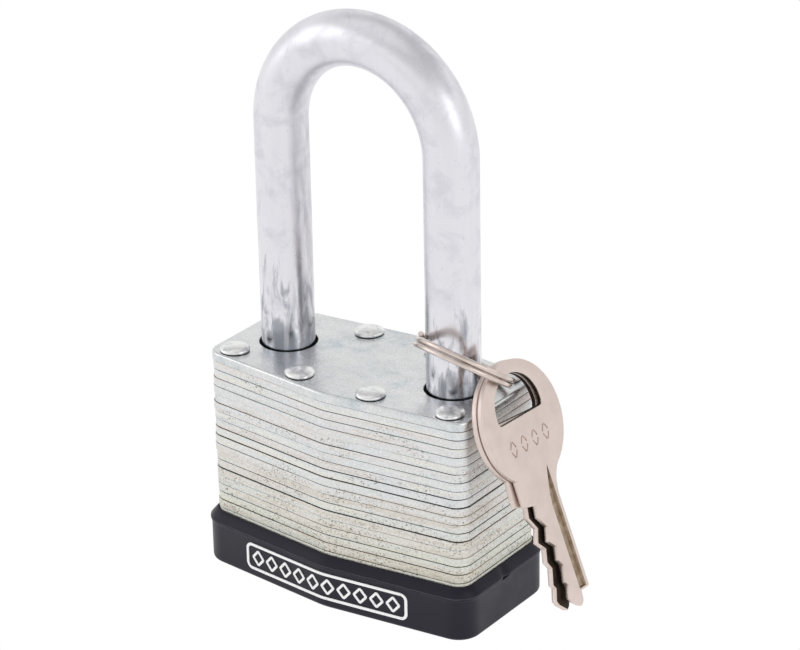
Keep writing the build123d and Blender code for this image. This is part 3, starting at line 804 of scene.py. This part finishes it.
def guard(rng):
    """Rings of the section round the outline, then rings that close in on the opening, twice."""
    section = guard_section()
    angle = np.arctan2(OUTLINE[:, 1], OUTLINE[:, 0])
    hole = np.stack([np.cos(angle), np.sin(angle)], -1) * 7.0 * MM
    rough = wander(rng, angle, 0.05 * MM)
    # one nick in the right end, a bell-shaped dip 0.4 mm deep
    nick = 0.4 * MM * np.exp(-((OUTLINE[:, 1] + 0.8 * MM) / (0.7 * MM)) ** 2) * (OUTLINE[:, 0] > 0)
    rings = []
    for off, z in section:
        flash = rough * (z > LIP_Z - 0.6 * MM)
        torn = nick * (abs(z - LIP_Z) < 0.4 * MM)
        height = z + flash - np.abs(flash) - torn
        rings.append(np.c_[OUTLINE + OUTWARD * (off - torn)[:, None], height])
    for t in (0.02, 0.3, 0.6, 0.97, 1.0):
        rings.append(np.c_[OUTLINE * (1 - t) + hole * t, np.full(len(OUTLINE), FLOOR)])
    for t in (1.0, 0.97, 0.6, 0.3, 0.05):
        inner = OUTLINE + OUTWARD * (WALL - 0.7 * MM)
        rings.append(np.c_[inner * (1 - t) + hole * t, np.zeros(len(OUTLINE))])
    shell = Shell()
    shell.add(np.concatenate(rings), grid_faces(len(rings), len(OUTLINE), close_rows=True))
    return shell.make("guard", "lock_body", "bumper", "bumper_black", [BLACK], sharp=40)


guard(np.random.default_rng(11))


# %% [markdown]
# ## Marking on the guard
# A raised frame with rounded corners runs across the front of the guard, painted white. In it
# stands a plain row of lozenges. Each line is a ribbon with a rounded back: a closed path in the
# wall's own two directions, along the front and up, laid onto the wall's bent surface.

# %% Marking
MARK_Z, MARK_HALF_H, MARK_HALF_W, MARK_X = 4.02 * MM, 2.2 * MM, 16.2 * MM, -0.45 * MM
STROKE, RELIEF = 0.5 * MM, 0.13 * MM


def on_wall(u, z, proud):
    """Point on the guard's front: u runs along it, and the wall bends softly at its middle."""
    softened = np.sqrt(u**2 + (0.55 * MM) ** 2) - 0.2 * MM
    y = -HALF_MID + softened * (HALF_MID - HALF_END) / HALF_W - WALL - proud
    return np.stack([u, y, z], -1)


def ribbon(shell, path, width=STROKE, height=RELIEF):
    """Closed path (u, z) thickened to a low rounded ridge, sunk a little into the wall."""
    ahead = np.roll(path, -1, 0) - np.roll(path, 1, 0)
    ahead /= np.linalg.norm(ahead, axis=1, keepdims=True)
    side = np.stack([ahead[:, 1], -ahead[:, 0]], -1)
    section = [(-0.5, -0.25), (-0.5, 0.6), (-0.36, 1.0), (0.36, 1.0), (0.5, 0.6), (0.5, -0.25)]
    rows = [on_wall(*(path + side * s * width).T, h * height) for s, h in section]
    shell.add(np.concatenate(rows), grid_faces(len(section), len(path), close_rows=True))


def marking():
    """The frame and ten lozenges."""
    shell = Shell()
    w, h = MARK_HALF_W, MARK_HALF_H
    box, _ = rounded_polygon([(-w, -h), (w, -h), (w, h), (-w, h)], [1.0 * MM] * 4, 0.5 * MM)
    ribbon(shell, box + [MARK_X, MARK_Z])
    corners = np.array([(-1.15, 0), (0, -1.3), (1.15, 0), (0, 1.3)]) * MM
    diamond, _ = rounded_polygon(corners, [0.18 * MM] * 4, 0.3 * MM)
    for u in np.linspace(-w + 2.4 * MM, w - 2.4 * MM, 10):
        ribbon(shell, diamond + [MARK_X + u, MARK_Z], 0.42 * MM)
    return shell.make("raised_marking", "lock_body", None, "marking_white", [WHITE])


marking()

# %% [markdown]
# ## Split ring
# The ring is spring wire wound twice. A circle carried along a helix gives the two turns; the
# wire's ends are drawn in to close them.

# %% Split ring
def along_curve(points, radius, sides=20):
    """Circle of the given radius at each point, square to the path, with the ends drawn shut."""
    step = np.gradient(points, axis=0)
    step /= np.linalg.norm(step, axis=1, keepdims=True)
    middle = points.mean(0)
    out = points - middle
    out -= (out * step).sum(1, keepdims=True) * step
    out /= np.linalg.norm(out, axis=1, keepdims=True)
    third = np.cross(step, out)
    a = np.arange(sides) * 2 * np.pi / sides
    size = np.full(len(points), radius)
    size[[0, -1]] = 0
    size[[1, -2]] = radius * 0.8
    points = points.copy()
    points[0], points[-1] = points[1], points[-2]
    ring = out[:, None] * np.cos(a)[None, :, None] + third[:, None] * np.sin(a)[None, :, None]
    return points[:, None] + ring * size[:, None, None]


def split_ring():
    """Two turns of a flat helix about the ring's own axis."""
    centre = np.array([19.3, -0.8, 44.15]) * MM
    axis = np.array([0.141, 0.5645, 0.8133])
    axis /= np.linalg.norm(axis)
    start = np.array([-0.832, -0.378, 0.406])
    start -= start @ axis * axis
    start /= np.linalg.norm(start)
    across = np.cross(axis, start)
    radius, wire = 8.15 * MM, 0.44 * MM
    pitch = 2 * wire + 0.06 * MM
    t = np.linspace(0, 4 * np.pi, 321)
    rise = -pitch + pitch * t / (2 * np.pi)
    turns = np.cos(t)[:, None] * start + np.sin(t)[:, None] * across
    path = centre + radius * turns + rise[:, None] * axis
    shell = Shell()
    shell.add(along_curve(path, wire), grid_faces(len(path), 20))
    return shell.make("split_ring", "ring_body", "key_ring", "spring_wire", [WIRE],
                      sharp=60, weld=1e-6)


split_ring()

# %% [markdown]
# ## Keys
# A key starts as a stamped blank: a round bow with a D-shaped hole, and a blade with a milled
# groove along its back. Then the cuts are ground. The blank is a flat outline with softened
# edges, and the groove and the stamped marks are shallow pockets: loops in the front face, each
# with its own wall and floor.

# %% Keys
BOW_R, KEY_T = 10.1 * MM, 1.0 * MM
BLADE_END, SPINE = -31.0 * MM, 2.95 * MM
CUTS = [(-3.4, -13.0), (-3.75, -14.9), (-2.3, -17.0), (-3.2, -19.2), (-1.7, -20.6), (-2.3, -22.7),
        (-1.5, -23.9), (-2.35, -26.5), (-1.85, -27.2), (-2.6, -29.1), (-2.15, -29.9)]


def key_outline():
    """Bow as a long arc from the left shoulder over the top to the right, then the blade."""
    left, right_side = np.radians(233), np.radians(-54)
    a = np.linspace(left, right_side, 90)
    bow = np.stack([BOW_R * np.cos(a), BOW_R * np.sin(a)], -1)
    neck_a = np.linspace(0, 1, 8)[1:, None]
    start, corner, end = bow[-1], np.array([3.3 * MM, -9.6 * MM]), np.array([SPINE, -13.2 * MM])
    neck = start * (1 - neck_a) ** 2 + 2 * corner * neck_a * (1 - neck_a) + end * neck_a**2
    spine, end_y = SPINE / MM, BLADE_END / MM
    tip = np.array([[spine, end_y + 2.1], [spine - 0.3, end_y + 1.9], [0.75, end_y + 1.9],
                    [0.55, end_y + 0.6], [0.3, end_y + 0.15], [-0.3, end_y - 0.3],
                    [-0.8, end_y]]) * MM
    shoulder = [[-6.15 * MM, -12.4 * MM], [-6.1 * MM, -8.4 * MM]]
    loop = np.concatenate([bow, neck, tip, np.array(CUTS[::-1]) * MM, shoulder])
    return loop[::-1]


def bow_hole():
    """D-shaped hole: an arc over a straight foot, with small corner rounds."""
    radius, middle, foot = 5.9 * MM, 2.1 * MM, 1.0 * MM
    low = np.arcsin((foot - middle) / radius) + 0.12
    a = np.linspace(low, np.pi - low, 44)
    arc = np.stack([radius * np.cos(a), middle + radius * np.sin(a)], -1)
    inset = radius * np.cos(low) - 0.75 * MM
    return np.concatenate([arc, [[-inset - 0.5 * MM, foot + 0.12 * MM], [-inset, foot],
                                 [inset, foot], [inset + 0.5 * MM, foot + 0.12 * MM]]])


def groove_loop():
    """Milled groove: pointed where the cutter lifts out near the bow, square at the tip."""
    low, high, end = 0.40 * MM, 2.20 * MM, BLADE_END + 2.3 * MM
    t = np.linspace(0, 1, 14)
    along = end + (-8.0 * MM - end) * t
    back_edge = np.stack([np.full(14, high), along], -1)
    lift_out = 0.97 * np.clip((t - 0.72) / 0.28, 0, 1) ** 1.3
    front_edge = np.stack([low + (high - low) * lift_out, along], -1)
    return np.concatenate([back_edge[:-1], front_edge[::-1][:-1], front_edge[:1]])


def offset_loop(loop, distance):
    """Loop moved along its outward normals, for a loop that runs anticlockwise."""
    before = loop - np.roll(loop, 1, 0)
    after = np.roll(loop, -1, 0) - loop
    before /= np.linalg.norm(before, axis=1, keepdims=True)
    after /= np.linalg.norm(after, axis=1, keepdims=True)
    n1 = np.stack([before[:, 1], -before[:, 0]], -1)
    n2 = np.stack([after[:, 1], -after[:, 0]], -1)
    total = n1 + n2
    return loop + distance * total / np.maximum(1 + (n1 * n2).sum(1, keepdims=True), 0.4)


def key_shell(front):
    """Key in its own plane, front face at height 0, its thickness below."""
    shell = Shell()
    outline, hole = key_outline(), bow_hole()
    bevel = 0.16 * MM

    def wall(loop, grow, top, bottom, mark):
        steps = [(-grow * bevel, top), (-grow * bevel * 0.3, top - bevel * 0.3), (0, top - bevel),
                 (0, bottom + bevel), (-grow * bevel * 0.3, bottom + bevel * 0.3),
                 (-grow * bevel, bottom)]
        rows = np.concatenate([at_height(offset_loop(loop, off), z) for off, z in steps])
        faces, n = grid_faces(len(steps), len(loop)), len(loop)
        straight = (np.arange(len(faces)) // n) == 2
        shell.add(rows, faces[~straight])
        shell.add(rows, faces[straight], mark)

    wall(outline, 1, 0.0, -KEY_T, 0)
    # painted shade: the straight wall inside the bow hole takes the dark brown nickel
    wall(hole, -1, 0.0, -KEY_T, 2)
    rim, open_rim = offset_loop(outline, -bevel), offset_loop(hole, bevel)
    pockets = [(groove_loop(), 0.42 * MM, 0.20 * MM)]
    stroke = rectangle(-0.62 * MM, 0.62 * MM, -0.15 * MM, 0.15 * MM)
    for u in np.linspace(-4.4, 4.4, 4) * MM:
        for sx, sy in ((-1, -1), (-1, 1), (1, -1), (1, 1)):
            tilt = np.radians(60) * -sx * sy
            spin = np.array([[np.cos(tilt), np.sin(tilt)], [-np.sin(tilt), np.cos(tilt)]])
            place = [u + sx * 0.42 * MM, -3.2 * MM + sy * 0.75 * MM]
            pockets.append((stroke @ spin + place, 0.16 * MM, 0.05 * MM))
    for loop, depth, inset in pockets:
        floor = offset_loop(loop, -inset)
        cut = int(depth > 0.3 * MM)
        rows = np.concatenate([at_height(loop, 0), at_height(floor, -depth)])
        shell.add(rows, grid_faces(2, len(loop)), cut)
        shell.add(*fill([floor], -depth, True), cut)
    verts, faces = fill([rim, open_rim] + [loop for loop, _, _ in pockets], 0.0, True)
    # painted shade: on the rear key the blade's front face, behind the front key, takes the dark
    # brown nickel as the shadow between the keys
    covered = verts[faces].mean(1)[:, 1] < -13.2 * MM
    shell.add(verts, faces[~covered])
    shell.add(verts, faces[covered], 0 if front else 2)
    shell.add(*fill([rim, open_rim], -KEY_T, False))
    return shell


KEY_LEAN, KEY_FAN, KEY_ROLL, REAR_ROLL = np.radians([22.9, 0.8, -2.0, -3.2])
BOW_CENTRE = np.array([29.49, 1.04, 35.65]) * MM


def key(front):
    """Place one key: both hang from the top of the bow, and the rear one leans a little less."""
    facing = np.array([np.cos(KEY_LEAN), 0, np.sin(KEY_LEAN)])
    up = np.array([-np.sin(KEY_LEAN), 0, np.cos(KEY_LEAN)])
    lean = KEY_LEAN if front else KEY_LEAN - KEY_FAN
    normal = np.array([np.cos(lean), 0, np.sin(lean)])
    across = np.array([0, 1.0, 0])
    along = np.cross(normal, across)
    top = BOW_CENTRE + up * BOW_R - (0 if front else 1) * facing * (KEY_T + 0.1 * MM)
    shell = key_shell(front)
    flat = np.concatenate(shell.points)
    own = 0 if front else REAR_ROLL
    bx = flat[:, :1] * np.cos(own) - flat[:, 1:2] * np.sin(own)
    by = flat[:, :1] * np.sin(own) + flat[:, 1:2] * np.cos(own)
    c, s = np.cos(KEY_ROLL), np.sin(KEY_ROLL)
    px, py = bx, by - BOW_R
    placed = top + (px * c - py * s) * across + (px * s + py * c) * along + flat[:, 2:] * normal
    shell.points = [placed]
    node = "key_front" if front else "key_rear"
    return shell.make(f"nickel_{node}", f"{node}_body", node, "key_nickel",
                      [NICKEL, CUT, KEY_SHADE_NICKEL], sharp=30, weld=1e-7)


for is_front in (True, False):
    key(is_front)

# %% [markdown]
# ## Inner parts
# The cylinder, its pins, the levers and the springs are already right in the frame, and they
# show only when the lock is opened up or seen from below. They keep their CAD shapes and get
# their real finishes.

# %% Finishes for the carried-over parts
INNER = {"heel_retainer": STEEL, "shackle_spring": WIRE, "lever_left": STEEL, "lever_right": STEEL,
         "lever_spring": WIRE, "cylinder_housing": BRASS, "chamber_cap": BRASS, "plug": BRASS,
         "plug_clip": STEEL, "tailpiece": STEEL, "key_pins": BRASS, "driver_pins": BRASS,
         "pin_springs": WIRE}
for name, finish in INNER.items():
    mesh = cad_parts[name].data
    mesh.materials.clear()
    mesh.materials.append(finish)
print("finished", len(INNER), "inner parts")

# %% [markdown]
# ## Floor and light
# Plated steel shows whatever stands round it, so the light is large and soft: a bright, even
# room, one broad lamp overhead and one at each side. The floor is plain and pale.

# %% Floor
floor_mesh = bpy.data.meshes.new("floor")
FLOOR_HALF = 3.0
floor_mesh.from_pydata([(x * FLOOR_HALF, y * FLOOR_HALF, 0) for x, y in
                        ((-1, -1), (1, -1), (1, 1), (-1, 1))], [], [(0, 1, 2, 3)])
floor = bpy.data.objects.new("floor", floor_mesh)
floor.location.z = -0.05 * MM
bpy.context.scene.collection.objects.link(floor)
floor_paint, _, _ = material("lit_studio_floor", Base_Color=paint("#000000"),
                             Roughness=1.0, Specular_IOR_Level=0.0,
                             Emission_Color=paint("#FFFFFF"), Emission_Strength=1.0)
floor_mesh.materials.append(floor_paint)

# %% Light
scene = bpy.context.scene
scene.view_settings.view_transform = "Standard"
world = bpy.data.worlds.new("studio")
world.use_nodes = True
room = world.node_tree
backdrop = room.nodes["Background"]
aim = add(room, "SeparateXYZ", {0: add(room, "TexCoord", out="Generated")}, out="Z")
lifted = add(room, "MapRange", {"Value": aim, "From Min": -1.0, "From Max": 1.0})
room.links.new(add(room, "ValToRGB", {0: lifted},
                   stops=[(0.0, 1.0), (0.49, 0.95), (0.58, 0.82), (0.7, 1.12), (0.84, 0.64),
                          (1.0, 0.58)]), backdrop.inputs["Color"])
backdrop.inputs["Strength"].default_value = 1.0
scene.world = world


def lamp(name, at, size, watts):
    """Square area light that faces the lock."""
    light = bpy.data.lights.new(name, "AREA")
    light.size = size
    light.energy = watts
    made = bpy.data.objects.new(name, light)
    made.location = at
    made.rotation_euler = (Vector((0, 0, 0.04)) - Vector(at)).to_track_quat("-Z", "Y").to_euler()
    scene.collection.objects.link(made)
    return made


LAMPS = [lamp("overhead", (-0.15, -0.1, 0.7), 0.6, 0.4), lamp("left", (-0.6, -0.4, 0.3), 0.5, 0.55),
         lamp("right", (0.6, -0.1, 0.3), 0.3, 0.3)]
print("lamps:", ", ".join(l.name for l in LAMPS))
